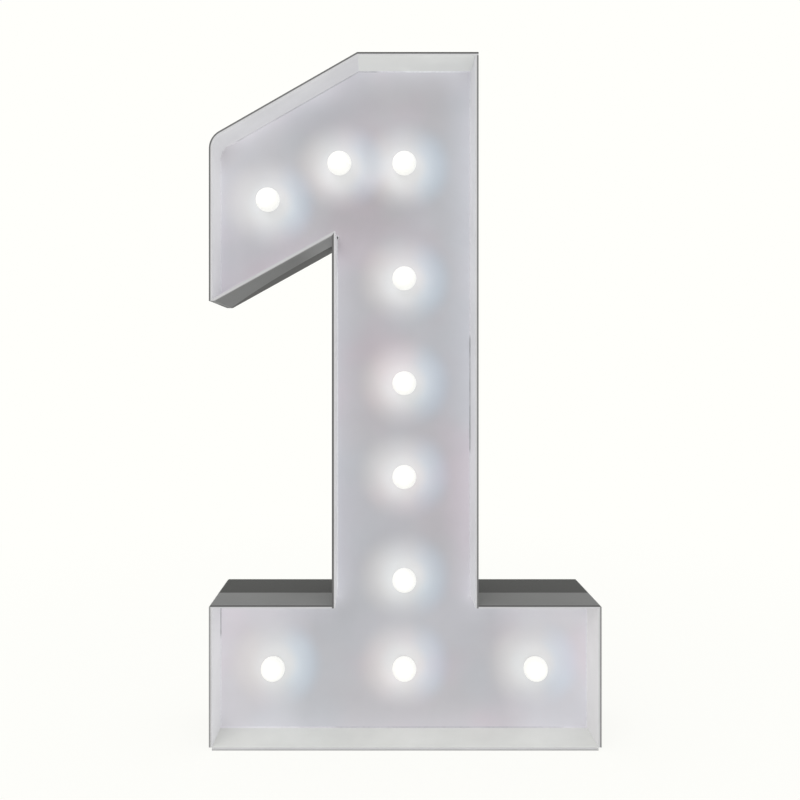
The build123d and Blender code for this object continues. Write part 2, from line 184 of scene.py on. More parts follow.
def makeFoamSkin():  # closed cells, with a faint cloud in tone and height
    tree, ins, outs = newGroup(
        "foamSkin",
        [("Grain", "Float", 1500.0), ("Mottle", "Float", 16.0), ("Depth", "Float", 0.03)],
        [("Tone", "Float"), ("Height", "Float"), ("Rough", "Float")],
    )
    place = objectPlace(tree)
    cells = noise(tree, ins["Grain"], 2.0, 0.6, place)
    cloud = noise(tree, ins["Mottle"], 4.0, 0.55, place)
    low, high = inverse(tree, ins["Depth"]), plus(tree, 1.0, ins["Depth"])
    feed(tree, outs["Tone"], spreadNoise(tree, cloud, low, high))
    feed(tree, outs["Height"], plus(tree, cells, times(tree, cloud, 0.5)))
    feed(tree, outs["Rough"], ramp(tree, cells, 0.25, 0.75, 0.42, 0.58, smooth=False))
    return tree


def makeSideMasks():  # which way a face looks: out of the case, into it, or neither
    tree, ins, outs = newGroup(
        "sideMasks",
        [("Outward", "Vector", (0.0, 0.0, 1.0))],
        [("Outer", "Float"), ("Inner", "Float")],
    )
    normal = addNode(tree, "NewGeometry").outputs["True Normal"]
    facing = vectorCalc(tree, "DOT_PRODUCT", normal, ins["Outward"])
    feed(tree, outs["Outer"], ramp(tree, facing, 0.35, 0.6))
    feed(tree, outs["Inner"], ramp(tree, facing, -0.35, -0.6))
    return tree


def makeFlatDepth():  # how far a point lies behind the outer face of a straight board
    tree, ins, outs = newGroup(
        "flatDepth",
        [("Outward", "Vector", (0.0, 0.0, 1.0)), ("Reach", "Float", 0.0)],
        [("Depth", "Float")],
    )
    along = vectorCalc(tree, "DOT_PRODUCT", objectPlace(tree), ins["Outward"])
    feed(tree, outs["Depth"], calc(tree, "SUBTRACT", ins["Reach"], along))
    return tree


def makeBentDepth(side, slope):  # the same for the board bent round the shoulder
    tree, ins, outs = newGroup(
        "bentDepth",
        [("Centre", "Vector", (0.0, 0.0, 0.0)), ("Radius", "Float", 0.026)],
        [("Depth", "Float")],
    )
    place = vectorCalc(tree, "MULTIPLY", objectPlace(tree), (1.0, 0.0, 1.0))
    apart = vectorCalc(tree, "SUBTRACT", place, ins["Centre"])
    flats = [calc(tree, "SUBTRACT", ins["Radius"], vectorCalc(tree, "DOT_PRODUCT", apart, tuple(way)))
             for way in (side, slope)]
    bend = calc(tree, "SUBTRACT", ins["Radius"], vectorCalc(tree, "LENGTH", apart))
    above = calc(tree, "GREATER_THAN", axes(tree, apart)[2], 0.0)
    upSlope = (slope.z, 0.0, -slope.x)  # away from the bend
    before = calc(tree, "LESS_THAN", vectorCalc(tree, "DOT_PRODUCT", apart, upSlope), 0.0)
    flat = calc(tree, "MINIMUM", *flats)
    feed(tree, outs["Depth"], between(tree, times(tree, above, before), flat, bend))
    return tree


haloLook = {  # distances from a globe's middle over which the parts of its light come and go
    "core": (0.042, 0.010),
    "coreDrop": (0.0, 0.0, 0.006),  # the core's middle lies this far below the globe's
    "ringStart": (0.020, 0.036),  # the ring is tinted, cool to the right and warm to the left
    "ringEnd": (0.072, 0.046),
    "side": (0.1, 1.0),  # sine of the angle from upright, where a tint starts and is full
}


def makeBulbHalo(bulbs, look):  # light that the globes throw on what is round them, on the axes in Keep
    tree, ins, outs = newGroup(
        "bulbHalo",
        [("Near", "Float", 0.022), ("Far", "Float", 0.068), ("Keep", "Vector", (1.0, 0.0, 1.0))],
        [("Glow", "Float"), ("Core", "Float"), ("Cool", "Float"), ("Warm", "Float")],
    )
    place = objectPlace(tree)
    near, far = look["side"]
    totals = {"Glow": 0.0, "Core": 0.0, "Cool": 0.0, "Warm": 0.0}
    for bulb in bulbs:
        apart = vectorCalc(tree, "MULTIPLY", vectorCalc(tree, "SUBTRACT", place, tuple(bulb)), ins["Keep"])
        away = vectorCalc(tree, "LENGTH", apart)
        fromCore = vectorCalc(tree, "LENGTH", vectorCalc(tree, "ADD", apart, look["coreDrop"]))
        ring = times(tree, ramp(tree, away, *look["ringStart"]), ramp(tree, away, *look["ringEnd"]))
        across = calc(tree, "DIVIDE", axes(tree, apart)[0], away)
        parts = {
            "Glow": ramp(tree, away, ins["Far"], ins["Near"]),
            "Core": ramp(tree, fromCore, *look["core"]),
            "Cool": times(tree, ring, ramp(tree, across, near, far)),
            "Warm": times(tree, ring, ramp(tree, across, -near, -far)),
        }
        totals = {name: plus(tree, totals[name], part) for name, part in parts.items()}
    for name, total in totals.items():
        feed(tree, outs[name], total)
    return tree


edgeLook = {
    "endFade": 0.03,  # how softly a wall's light stops at its two ends
    "shortRun": 0.012,  # a run of the outline below this length throws none
}


def makePanelEdge(corners, throwOf, look):  # nearness to the walls, and the light that they throw back
    tree, ins, outs = newGroup(
        "panelEdge",
        [("Reach", "Float", 0.035)],
        [("Near", "Float"), ("Thrown", "Float")],
    )
    place = vectorCalc(tree, "MULTIPLY", objectPlace(tree), (1.0, 0.0, 1.0))
    fade = look["endFade"]
    nearest, thrown = 1.0, 0.0
    for start, end in looped(corners):
        run = end - start
        apart = vectorCalc(tree, "SUBTRACT", place, tuple(start))
        along = vectorCalc(tree, "DOT_PRODUCT", apart, tuple(run.normalized()))
        share = calc(tree, "DIVIDE", along, run.length, clamp=True)
        away = vectorCalc(tree, "DISTANCE", apart, tinted(tree, tuple(run), share))
        nearest = calc(tree, "MINIMUM", nearest, away)
        if run.length > look["shortRun"]:
            ends = times(tree, ramp(tree, along, -fade, fade),
                         ramp(tree, along, run.length + fade, run.length - fade))
            close = calc(tree, "POWER", ramp(tree, away, ins["Reach"], 0.0, smooth=False), 2.0)
            thrown = plus(tree, thrown, times(tree, close, ends, throwOf((start + end) / 2)))
    feed(tree, outs["Near"], ramp(tree, nearest, ins["Reach"], 0.0, smooth=False))
    feed(tree, outs["Thrown"], thrown)
    return tree


def makeMouldedSkin():  # fine matt spark texture of moulded plastic, with a few rubbed patches
    tree, ins, outs = newGroup(
        "mouldedSkin",
        [("Grain", "Float", 2600.0), ("Wear", "Float", 0.5), ("Matt", "Float", 0.38)],
        [("Tone", "Float"), ("Height", "Float"), ("Rough", "Float")],
    )
    place = objectPlace(tree)
    grain = noise(tree, ins["Grain"], 2.0, 0.5, place)
    patch = noise(tree, 55.0, 5.0, 0.6, place)
    rubbed = times(tree, ramp(tree, patch, 0.52, 0.68), ins["Wear"])
    feed(tree, outs["Tone"], inverse(tree, times(tree, rubbed, 0.06)))
    feed(tree, outs["Height"], calc(tree, "SUBTRACT", grain, times(tree, rubbed, 0.35)))
    rough = plus(tree, ins["Matt"], spreadNoise(tree, grain, -0.04, 0.04, smooth=False))
    feed(tree, outs["Rough"], calc(tree, "SUBTRACT", rough, times(tree, rubbed, 0.10)))
    return tree


def makeMetalSkin():  # drawn or plated metal: fine streaks along one axis and a little tarnish
    tree, ins, outs = newGroup(
        "metalSkin",
        [("Stretch", "Vector", (40.0, 2400.0, 2400.0)), ("Tarnish", "Float", 0.3), ("Matt", "Float", 0.28)],
        [("Tone", "Float"), ("Height", "Float"), ("Rough", "Float")],
    )
    place = objectPlace(tree)
    streaks = noise(tree, 1.0, 3.0, 0.6, vectorCalc(tree, "MULTIPLY", place, ins["Stretch"]))
    stain = noise(tree, 160.0, 4.0, 0.6, place)
    dull = times(tree, ramp(tree, stain, 0.45, 0.7), ins["Tarnish"])
    feed(tree, outs["Tone"], inverse(tree, times(tree, dull, 0.35)))
    feed(tree, outs["Height"], streaks)
    rough = plus(tree, ins["Matt"], times(tree, dull, 0.3), spreadNoise(tree, streaks, 0.0, 0.08))
    feed(tree, outs["Rough"], rough)
    return tree


def makeSawnGrain():  # softwood with growth lines along Y and saw marks across it
    tree, ins, outs = newGroup(
        "sawnGrain",
        [("Light", "Color", grey(0.6)), ("Dark", "Color", grey(0.4)), ("Rings", "Float", 260.0)],
        [("Color", "Color"), ("Height", "Float")],
    )
    place = objectPlace(tree)
    squeezed = vectorCalc(tree, "MULTIPLY", place, (1.0, 0.06, 1.0))
    warp = noise(tree, 28.0, 3.0, 0.5, squeezed)
    rings = addNode(tree, "TexWave",
                    {"Vector": squeezed, "Scale": ins["Rings"], "Distortion": 6.0, "Detail": 2.0,
                     "Phase Offset": times(tree, warp, 9.0)},
                    wave_type="BANDS", bands_direction="X").outputs[1]
    fibres = noise(tree, 900.0, 2.0, 0.6, squeezed)
    mixed = plus(tree, times(tree, rings, 0.6), times(tree, fibres, 0.4))
    saw = addNode(tree, "TexWave", {"Vector": place, "Scale": 190.0, "Distortion": 1.5},
                  wave_type="BANDS", bands_direction="Y").outputs[1]
    feed(tree, outs["Color"], blendColours(tree, mixed, ins["Light"], ins["Dark"]))
    feed(tree, outs["Height"], plus(tree, mixed, times(tree, saw, 0.4)))
    return tree


# Places read from the frame

def faceLevel(nodeName, axis, way):  # where a node's largest face that looks along an axis lies
    areas = {}
    for polygon in cadNodes[nodeName].data.polygons:
        if polygon.normal[axis] * way > 0.99:
            level = round(polygon.center[axis], 5)
            areas[level] = areas.get(level, 0.0) + polygon.area
    return max(areas, key=areas.get)


def frontOutline(nodeName):  # corners of a flat node's front face, in order, its holes left out
    mesh = cadNodes[nodeName].data
    level = faceLevel(nodeName, 1, -1)
    onward = {}
    for polygon in mesh.polygons:
        if polygon.normal.y < -0.99 and abs(polygon.center.y - level) < 0.0005:
            corners = [mesh.vertices[index].co.xz for index in polygon.vertices]
            spots = [tuple(round(part, 6) for part in corner) for corner in corners]
            for first, second in looped(spots):
                onward.setdefault(first, set()).add(second)
    ends = {first: [second for second in seconds if first not in onward.get(second, ())]
            for first, seconds in onward.items()}
    border = {first: seconds[0] for first, seconds in ends.items() if seconds}
    loops = []
    while border:
        first = next(iter(border))
        loop = []
        while first in border:
            loop.append(first)
            first = border.pop(first)
        loops.append(loop)
    outer = max(loops, key=lambda loop: max(x for x, z in loop) - min(x for x, z in loop))
    return [Vector((x, 0.0, z)) for x, z in outer]


def islands(nodeName):  # lowest and highest corner of each solid in a node
    work = bmesh.new()
    work.from_mesh(cadNodes[nodeName].data)
    bmesh.ops.remove_doubles(work, verts=work.verts, dist=0.000001)
    waiting = set(work.verts)
    found = []
    while waiting:
        edge, solid = [waiting.pop()], []
        while edge:
            vertex = edge.pop()
            solid.append(vertex.co.copy())
            for link in vertex.link_edges:
                other = link.other_vert(vertex)
                if other in waiting:
                    waiting.discard(other)
                    edge.append(other)
        found.append((Vector([min(co[i] for co in solid) for i in range(3)]),
                      Vector([max(co[i] for co in solid) for i in range(3)])))
    work.free()
    return sorted(found, key=lambda pair: (pair[0].z, pair[0].x))


def largestFace(nodeName, way):  # normal of the node's largest face that looks along a direction
    faces = [polygon for polygon in cadNodes[nodeName].data.polygons if polygon.normal.dot(way) > 0.8]
    return max(faces, key=lambda polygon: polygon.area).normal.copy()


def outerReach(nodeName, outward):
    return max(vertex.co.dot(outward) for vertex in cadNodes[nodeName].data.vertices)


globeNames = [f"bulb_globe_{number:02d}" for number in range(1, 11)]
bulbCentres = []
for nodeName in globeNames:
    low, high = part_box(nodeName)
    middle = (low + high) / 2
    bulbCentres.append(Vector((middle.x, low.y + (high.x - low.x) / 2, middle.z)))
panelFront = faceLevel("face_panel", 1, -1)
panelOutline = frontOutline("back_panel")  # the face panel's own has a relief in one corner

foamSkin = makeFoamSkin()
sideMasks = makeSideMasks()
flatDepth = makeFlatDepth()
bulbHalo = makeBulbHalo(bulbCentres, haloLook)
mouldedSkin = makeMouldedSkin()
metalSkin = makeMetalSkin()
sawnGrain = makeSawnGrain()
print("shared effects made")


# Materials

def newMaterial(name, **sockets):
    material = bpy.data.materials.new(name)
    material.use_nodes = True
    tree = material.node_tree
    shader = tree.nodes["Principled BSDF"]
    for socketName, value in sockets.items():
        shader.inputs[socketName.replace("_", " ")].default_value = value
    return material, tree, shader


def setMaterial(nodeName, material):
    node = cadNodes[nodeName]
    if not node.material_slots:
        node.data.materials.append(None)
    for materialSlot in node.material_slots:
        materialSlot.link = "OBJECT"
        materialSlot.material = material


def bump(tree, shader, height, strength, depth):
    node = addNode(tree, "Bump", {"Height": height, "Strength": strength, "Distance": depth})
    feed(tree, shader.inputs["Normal"], node.outputs[0])


def finishSkin(tree, shader, skin, colour, strength, depth):  # a colour with a skin's tone, gloss and relief
    feed(tree, shader.inputs["Base Color"], tinted(tree, colour, skin["Tone"]))
    feed(tree, shader.inputs["Roughness"], skin["Rough"])
    bump(tree, shader, skin["Height"], strength, depth)


def lightUp(tree, shader, colour):
    feed(tree, shader.inputs["Emission Color"], colour)
    shader.inputs["Emission Strength"].default_value = 1.0


wallLook = {
    "outerFront": (0.172, 0.175, 0.174),  # painted shade on the outer face, dark grey; the tray's half of the board is lighter with painted light, as if lit through from inside
    # painted shade: the rear half of the outer face, darker still
    "outerRearShade": (0.025, 0.026, 0.025),
    "splitSoft": 0.0012,
    "inner": (0.72, 0.72, 0.74),
    "innerGlow": 0.09,  # light that goes round inside the tray
    "haloGlow": 0.08,
    "haloNear": 0.02,
    "haloFar": 0.12,
    "rimLine": 0.0021,  # width of the painted dark shade line along the rim's outer edge
    "rimSoft": 0.0004,
    # painted shade: the tone of that dark line on the rim
    "rimShade": 0.17,
    "rimLight": (0.60, 0.60, 0.61),
    "cutLevel": -1.0,  # height of a level end that looks down, coloured as the outside is, its painted shade included
    "throw": 1.0,  # how much light the board throws back on the face panel
    "litPast": 0.0,  # how far the light reaches into the rear half, as a share of it
    "slant": 0.0,  # how much further it reaches at the board's left end
    "slantBend": 3.0,  # how late along the board it does so
    "rootGlow": 0.0,  # light that shines through the lit half at the board's right end
    "rootReach": 0.06,
    "rootRear": 0.15,  # share of it in the rear half
}

wallSides = {  # outward direction of each board, and what sets it apart
    "bottom_wall": {"way": (0, 0, -1), "inner": (0.735, 0.745, 0.715), "innerGlow": 0.045, "rimShade": 0.40,
                    "rimLine": 0.0014, "throw": 0.75},
    "left_foot_end_wall": {"way": (-1, 0, 0), "innerGlow": 0.12, "rimShade": 0.30, "throw": 0.75},
    "right_foot_end_wall": {"way": (1, 0, 0), "inner": (0.715, 0.705, 0.705), "rimShade": 0.25, "throw": 0.55},
    "left_foot_top_wall": {"way": (0, 0, 1), "outerFront": (0.187, 0.190, 0.189), "rimShade": 0.10,
                           "throw": 1.45},
    "right_foot_top_wall": {"way": (0, 0, 1), "outerFront": (0.163, 0.166, 0.164), "rimShade": 0.10,
                            "throw": 1.3},
    "stem_left_wall": {"way": (-1, 0, 0), "rimShade": 0.12, "rimLine": 0.0026, "throw": 1.3},
    "stem_right_wall": {"way": (1, 0, 0), "innerGlow": 0.055},
    "top_wall": {"way": (0, 0, 1), "inner": (0.72, 0.735, 0.715), "innerGlow": 0.13, "rimShade": 0.06,
                 "throw": 1.55},
}
slopedSides = {  # their directions are read from the frame
    "hook_under_wall": {"outerFront": (0.156, 0.159, 0.161), "rimShade": 0.35, "rimLine": 0.0008,
                        "rimLight": (0.56, 0.56, 0.57), "litPast": 0.22, "slant": 0.70, "rootGlow": 0.15,
                        "throw": 0.35},
    "shoulder_wall": {"innerGlow": 0.095, "rimShade": 0.14, "throw": 1.4},
}
shoulderBend = 0.026  # outer radius


def throwOf(spot):  # from the board whose box holds a point of the outline, or comes nearest to it
    looks = {**wallSides, **slopedSides}

    def gap(name):
        low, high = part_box(name)
        return max(low.x - spot.x, spot.x - high.x, low.z - spot.z, spot.z - high.z, 0.001)

    return looks[min(looks, key=gap)].get("throw", wallLook["throw"])


def dressWall(nodeName, changes, bend=None):  # a bent board brings its own depth group, with its inputs
    look = {**wallLook, **changes}
    outward = Vector(look["way"]).normalized()
    material, tree, shader = newMaterial("foamBoard_" + nodeName, Specular_IOR_Level=0.22)
    skin = useGroup(tree, foamSkin)
    masks = useGroup(tree, sideMasks, {"Outward": tuple(outward)})
    group, inputs = bend or (flatDepth, {"Outward": tuple(outward), "Reach": outerReach(nodeName, outward)})
    depth = useGroup(tree, group, inputs)["Depth"]
    x, y, z = axes(tree, objectPlace(tree))
    low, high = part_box(nodeName)
    rearHalf = high.y - panelFront
    late = calc(tree, "POWER", ramp(tree, x, high.x, low.x, smooth=False), look["slantBend"])
    litEnds = [panelFront + rearHalf * share for share in (look["litPast"], look["litPast"] + look["slant"])]
    back = ramp(tree, calc(tree, "SUBTRACT", y, between(tree, late, *litEnds)), 0.0, look["splitSoft"])
    cutEnd = calc(tree, "LESS_THAN", z, look["cutLevel"])
    outside = calc(tree, "MAXIMUM", masks["Outer"], cutEnd)
    inside = times(tree, masks["Inner"], inverse(tree, cutEnd))
    # the outer face's colour is painted shade, with painted light in its front half
    outer = blendColours(tree, back, rgba(look["outerFront"]), rgba(look["outerRearShade"]))
    # painted shade: a dark line along the rim's outer edge
    edge = ramp(tree, depth, look["rimLine"] - look["rimSoft"], look["rimLine"] + look["rimSoft"])
    rim = blendColours(tree, edge, grey(look["rimShade"]), rgba(look["rimLight"]))
    colour = blendColours(tree, outside, rim, outer)
    colour = blendColours(tree, inside, colour, rgba(look["inner"]))
    finishSkin(tree, shader, skin, colour, strength=0.12, depth=0.0003)
    halo = useGroup(tree, bulbHalo,
                    {"Near": look["haloNear"], "Far": look["haloFar"], "Keep": (1.0, 1.0, 1.0)})
    glow = plus(tree, times(tree, halo["Glow"], look["haloGlow"]), look["innerGlow"])
    glow = times(tree, glow, inside, inverse(tree, back))
    if look["rootGlow"]:
        through = ramp(tree, x, high.x - look["rootReach"], high.x, 0.0, look["rootGlow"])
        glow = plus(tree, glow, times(tree, through, outside, between(tree, back, 1.0, look["rootRear"])))
    lightUp(tree, shader, tinted(tree, (1.0, 1.0, 1.0), glow))
    setMaterial(nodeName, material)


for nodeName, changes in wallSides.items():
    dressWall(nodeName, changes)
underWay = largestFace("hook_under_wall", Vector((0.5, 0.0, -0.8)))
dressWall("hook_under_wall", {**slopedSides["hook_under_wall"], "way": underWay})

left = Vector((-1.0, 0.0, 0.0))
climb = largestFace("shoulder_wall", Vector((-0.5, 0.0, 0.87)))
bendX = shoulderBend - outerReach("shoulder_wall", left)
bendZ = (outerReach("shoulder_wall", climb) - shoulderBend - bendX * climb.x) / climb.z
bentDepth = makeBentDepth(left, climb)
dressWall("shoulder_wall",
          {**slopedSides["shoulder_wall"], "way": left + climb,
           "cutLevel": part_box("shoulder_wall")[0].z + 0.0002},
          (bentDepth, {"Centre": (bendX, 0.0, bendZ), "Radius": shoulderBend}))
panelEdge = makePanelEdge(panelOutline, throwOf, edgeLook)
print("walls dressed")


panelLook = {
    "tone": (0.472, 0.464, 0.490),
    "pink": (0.494, 0.452, 0.490),
    "blue": (0.452, 0.470, 0.504),
    "pinkScale": 7.0,
    "blueScale": 5.5,
    "blueShift": (3.1, 0.0, 1.7),
    "blueShare": 0.7,
    "patch": (0.42, 0.62),  # levels of the noise between which a patch sets in
    "halo": (0.25, 0.25, 0.238),
    "haloNear": 0.012,
    "core": (0.082, 0.084, 0.076),
    "cool": (-0.026, 0.017, 0.050),
    "warm": (0.016, 0.004, -0.008),
    "border": (0.155, 0.155, 0.168),  # light thrown back by the walls
    "borderReach": 0.056,
    "hook": (0.100, 0.095, 0.095),  # more light in the hook and in the foot than in the stem
    "foot": (0.158, 0.153, 0.158),
    "hookAcross": (-0.12, -0.23),  # where each of these fades in, and at times from what share to what share
    "hookUp": (0.655, 0.725, 0.2, 1.0),
    "footDown": (0.215, 0.150),
    "footAcross": (0.09, 0.19),
    "footUp": (0.015, 0.065, 0.8, 1.0),
    "footMiddle": (0.110, 0.02, 0.22, 0.36),
    "rootAway": (0.085, 0.01, 0.0, 0.75),  # round the corner of hook and stem less border light arrives
    "rootUp": (-0.045, -0.005),
    # painted shade: the panel's colour is darkened in an oval round the corner of hook and stem
    "paintedShade": 0.15,
    "paintedShadeSpot": (-0.0545, 0.7167, 0.100, 0.060),  # the darkest spot of the painted shade: X, Z, half its width, half its height
    "pools": [  # spots where more or less light gathers, given the same way, and how much
        ((-0.126, 0.882, 0.080, 0.042), 0.045),
        ((-0.002, 0.062, 0.068, 0.038), 0.060),
        ((-0.140, 0.740, 0.030, 0.040), -0.035),
        ((-0.052, 0.324, 0.036, 0.160), 0.020),
        ((-0.045, 0.790, 0.022, 0.036), -0.050),
        ((-0.250, 0.690, 0.030, 0.150), -0.038),
    ],
}


def oval(tree, place, spot, heart=0.15):  # 1 in the heart of a spot on the panel, 0 at its edge
    x, z, halfWide, halfTall = spot
    apart = vectorCalc(tree, "SUBTRACT", place, (x, 0.0, z))
    scaled = vectorCalc(tree, "MULTIPLY", apart, (1.0 / halfWide, 0.0, 1.0 / halfTall))
    return ramp(tree, vectorCalc(tree, "LENGTH", scaled), 1.0, heart)


def makePanelLight(look):  # what the globes and the walls add to the face panel and the glue round it
    tree, ins, outs = newGroup("panelLight", [("Share", "Float", 1.0)], [("Color", "Color")])
    place = objectPlace(tree)
    x, _, z = axes(tree, place)
    halo = useGroup(tree, bulbHalo, {"Near": look["haloNear"]})
    thrown = useGroup(tree, panelEdge, {"Reach": look["borderReach"]})["Thrown"]
    dim = inverse(tree, calc(tree, "MINIMUM", halo["Glow"], 1.0))  # a halo hides what is fainter
    foot = ramp(tree, z, *look["footDown"])
    hook = times(tree, ramp(tree, x, *look["hookAcross"]), ramp(tree, z, *look["hookUp"]),
                 inverse(tree, foot))
    aside = ramp(tree, calc(tree, "ABSOLUTE", x), *look["footAcross"])
    ends = times(tree, aside, ramp(tree, z, *look["footUp"]))
    foot = times(tree, foot, calc(tree, "MAXIMUM", ends, ramp(tree, z, *look["footMiddle"])))
    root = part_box("hook_under_wall")[1]
    fromRoot = vectorCalc(tree, "DISTANCE", place, (root.x, panelFront, root.z))
    aboveRoot = ramp(tree, z, *(root.z + level for level in look["rootUp"]))
    shelter = times(tree, ramp(tree, fromRoot, *look["rootAway"]), aboveRoot)
    amounts = {
        "halo": halo["Glow"],
        "core": halo["Core"],
        "cool": halo["Cool"],
        "warm": halo["Warm"],
        "hook": times(tree, hook, dim),
        "foot": times(tree, foot, dim),
        "border": times(tree, thrown, inverse(tree, shelter)),
    }
    lights = [tinted(tree, look[name], amount) for name, amount in amounts.items()]
    for spot, amount in look["pools"]:
        lights.append(tinted(tree, (amount, amount, amount), oval(tree, place, spot)))
    total = lights[0]
    for light in lights[1:]:
        total = vectorCalc(tree, "ADD", total, light)
    total = vectorCalc(tree, "MAXIMUM", total, (0.0, 0.0, 0.0))
    feed(tree, outs["Color"], tinted(tree, total, ins["Share"]))
    return tree


def dressFacePanel(look):
    material, tree, shader = newMaterial("facePanelFoam")
    skin = useGroup(tree, foamSkin, {"Depth": 0.02})
    place = objectPlace(tree)
    shifted = vectorCalc(tree, "ADD", place, look["blueShift"])
    pink = ramp(tree, noise(tree, look["pinkScale"], 2.0, 0.5, place), *look["patch"])
    blue = ramp(tree, noise(tree, look["blueScale"], 2.0, 0.5, shifted), *look["patch"])
    colour = blendColours(tree, pink, rgba(look["tone"]), rgba(look["pink"]))
    colour = blendColours(tree, times(tree, blue, look["blueShare"]), colour, rgba(look["blue"]))
    # painted shade darkens the panel's colour in an oval
    paintedShade = times(tree, oval(tree, place, look["paintedShadeSpot"]), look["paintedShade"])
    finishSkin(tree, shader, skin, tinted(tree, colour, inverse(tree, paintedShade)), strength=0.10, depth=0.0003)
    front = useGroup(tree, sideMasks, {"Outward": (0.0, -1.0, 0.0)})["Outer"]
    lightUp(tree, shader, useGroup(tree, panelLight, {"Share": front})["Color"])
    setMaterial("face_panel", material)


panelLight = makePanelLight(panelLook)
dressFacePanel(panelLook)


backLook = {
    "tone": (0.70, 0.70, 0.71),
    "mottle": 9.0,
    "dust": (0.60, 0.59, 0.57),  # in specks, and along the walls
    "dustShare": 0.4,
    "speckScale": 30.0,
    "speck": (0.55, 0.75),
    "wallReach": 0.016,
}


def dressBackPanel(look):
    material, tree, shader = newMaterial("backPanelFoam")
    skin = useGroup(tree, foamSkin, {"Mottle": look["mottle"]})
    specks = ramp(tree, noise(tree, look["speckScale"], 6.0, 0.65, objectPlace(tree)), *look["speck"])
    byWall = calc(tree, "POWER", useGroup(tree, panelEdge, {"Reach": look["wallReach"]})["Near"], 2.0)
    dust = times(tree, calc(tree, "MAXIMUM", specks, byWall), look["dustShare"])
    colour = blendColours(tree, dust, rgba(look["tone"]), rgba(look["dust"]))
    finishSkin(tree, shader, skin, colour, strength=0.15, depth=0.0003)
    setMaterial("back_panel", material)


dressBackPanel(backLook)


globeLook = {
    "skin": (0.58, 0.58, 0.57),
    "light": (0.52, 0.52, 0.485),
    "neckShare": 0.35,  # of the light, behind the ball
    "ballEnd": 0.60,  # where the light starts to fade towards the neck, in radii behind the ball's middle
    "neckStart": 0.85,
    "frostScale": 1400.0,
    "cloudScale": 70.0,
}


def makeGlobeMaterial(look):
    material, tree, shader = newMaterial("frostedGlobe")
    place = objectPlace(tree)
    middle, low = bulbCentres[0].y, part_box(globeNames[0])[0].y
    neck, ball = (middle + (middle - low) * look[end] for end in ("neckStart", "ballEnd"))
    share = ramp(tree, axes(tree, place)[1], neck, ball, look["neckShare"], 1.0)
    frost = noise(tree, look["frostScale"], 3.0, 0.6, place)
    cloud = spreadNoise(tree, noise(tree, look["cloudScale"], 3.0, 0.5, place), 0.97, 1.0)
    skin = {"Tone": cloud, "Rough": spreadNoise(tree, frost, 0.30, 0.45), "Height": frost}
    finishSkin(tree, shader, skin, look["skin"], strength=0.05, depth=0.0002)
    lightUp(tree, shader, tinted(tree, look["light"], times(tree, cloud, share)))
    return material


globeMaterial = makeGlobeMaterial(globeLook)
for nodeName in globeNames:
    setMaterial(nodeName, globeMaterial)
print("panel and globes dressed")


def makePlastic(name, colour, matt, wear=0.5, grain=2600.0, glow=0.0):
    material, tree, shader = newMaterial(name)
    skin = useGroup(tree, mouldedSkin, {"Matt": matt, "Wear": wear, "Grain": grain})
    finishSkin(tree, shader, skin, colour, strength=0.12, depth=0.0002)
    if glow:
        lightUp(tree, shader, tinted(tree, (1.0, 1.0, 0.97), times(tree, skin["Tone"], glow)))
    return material


def makeMetal(name, colour, matt, stretch, tarnish=0.3):
    material, tree, shader = newMaterial(name, Metallic=1.0)
    skin = useGroup(tree, metalSkin, {"Matt": matt, "Stretch": stretch, "Tarnish": tarnish})
    finishSkin(tree, shader, skin, colour, strength=0.08, depth=0.0002)
    return material


unitPlastic = makePlastic("unitPlastic", (0.74, 0.74, 0.73), 0.34)
holderPlastic = makePlastic("holderPlastic", (0.78, 0.78, 0.75), 0.30, 0.2)
switchPlastic = makePlastic("switchPlastic", (0.018, 0.018, 0.020), 0.42, 0.8)
leadSheath = makePlastic("leadSheath", (0.72, 0.72, 0.70), 0.46, 0.3, 1500.0)
ledBoardSkin = makePlastic("ledBoardSkin", (0.80, 0.81, 0.81), 0.35, 0.2)
ledPhosphor = makePlastic("ledPhosphor", (0.88, 0.70, 0.22), 0.55, 0.3)
screwZinc = makeMetal("screwZinc", (0.66, 0.67, 0.69), 0.30, (2000.0, 60.0, 2000.0))
pinWire = makeMetal("pinWire", (0.62, 0.62, 0.63), 0.24, (30.0, 3000.0, 3000.0))
contactNickel = makeMetal("contactNickel", (0.72, 0.70, 0.66), 0.22, (1800.0, 1800.0, 60.0), 0.4)

for nodeName, material in {
    "battery_tub": unitPlastic,
    "battery_door": unitPlastic,
    "switch_body": switchPlastic,
    "switch_slider": switchPlastic,
    "lead_string": leadSheath,
    "led_boards": ledBoardSkin,
    "led_chips": ledPhosphor,
    "back_screws": screwZinc,
    "unit_screws": screwZinc,
    "hinge_pin": pinWire,
    "contact_plates": contactNickel,
    "contact_leaves": contactNickel,
    **{f"lamp_holder_{number:02d}": holderPlastic for number in range(1, 11)},
}.items():
    setMaterial(nodeName, material)


postLook = {"light": (0.52, 0.34, 0.17), "dark": (0.36, 0.20, 0.085)}
cellLook = {"sleeve": (0.06, 0.085, 0.11), "steel": (0.66, 0.66, 0.66)}


def dressPosts(look):
    material, tree, shader = newMaterial("sawnPost", Roughness=0.72)
    wood = useGroup(tree, sawnGrain, {"Light": rgba(look["light"]), "Dark": rgba(look["dark"])})
    feed(tree, shader.inputs["Base Color"], wood["Color"])
    bump(tree, shader, wood["Height"], strength=0.3, depth=0.0004)
    setMaterial("panel_posts", material)


